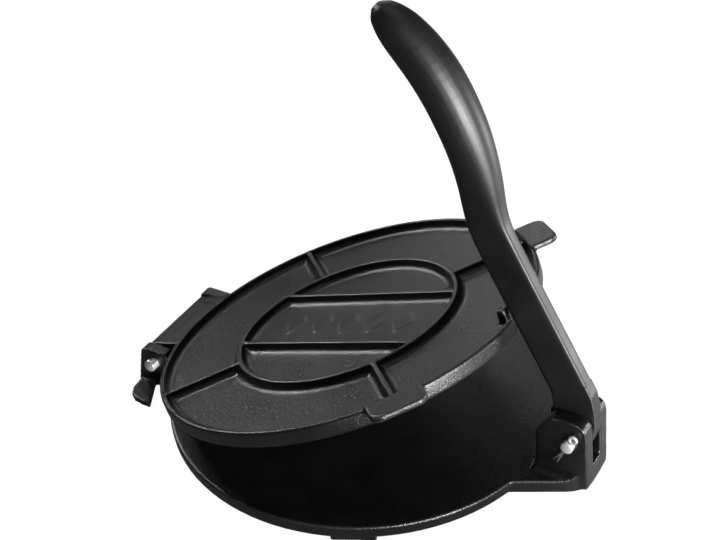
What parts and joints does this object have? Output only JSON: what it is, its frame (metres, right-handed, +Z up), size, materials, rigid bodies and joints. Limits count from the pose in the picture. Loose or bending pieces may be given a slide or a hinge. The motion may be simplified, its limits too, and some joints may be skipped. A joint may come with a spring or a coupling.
{
  "type": "tortilla press",
  "caption": "Cast-iron tortilla press: flat round base plate, hinged ribbed upper plate and a curved lever that swings over it from a forked neck.",
  "frame": {"origin": "on the table, under the middle of the press as it stands part open", "axes": "+X from the hinge to the lever, +Y along the hinge pin to the far side of the picture, +Z up"},
  "size_m": [0.3176, 0.254, 0.2978],
  "materials": {
    "cast_iron": "sand-cast, seasoned black, satin sheen",
    "pin_steel": "bright zinc-plated steel"
  },
  "bodies": {
    "base": {"base_plate": "cast_iron", "hinge_pin": "pin_steel", "lever_pin": "pin_steel", "lever_pin_split_pin_near": "pin_steel", "lever_pin_split_pin_far": "pin_steel"},
    "upper": {"upper_plate": "cast_iron"},
    "lever_body": {"lever": "cast_iron"}
  },
  "joints": [
    {"name": "plate_hinge", "type": "hinge", "parent": "base", "child": "upper", "pos_m": [-0.14433, 0, 0.01916], "axis": [0, -1, 0], "range_deg": [-19.34, 85.66]},
    {"name": "lever_hinge", "type": "hinge", "parent": "base", "child": "lever_body", "pos_m": [0.14556, 0, 0.04212], "axis": [0, 1, 0], "range_deg": [-18.5, 81]}
  ],
  "couplings": [
    {"joint": "lever_hinge", "follows": "plate_hinge", "ratio": 0.9434}
  ]
}
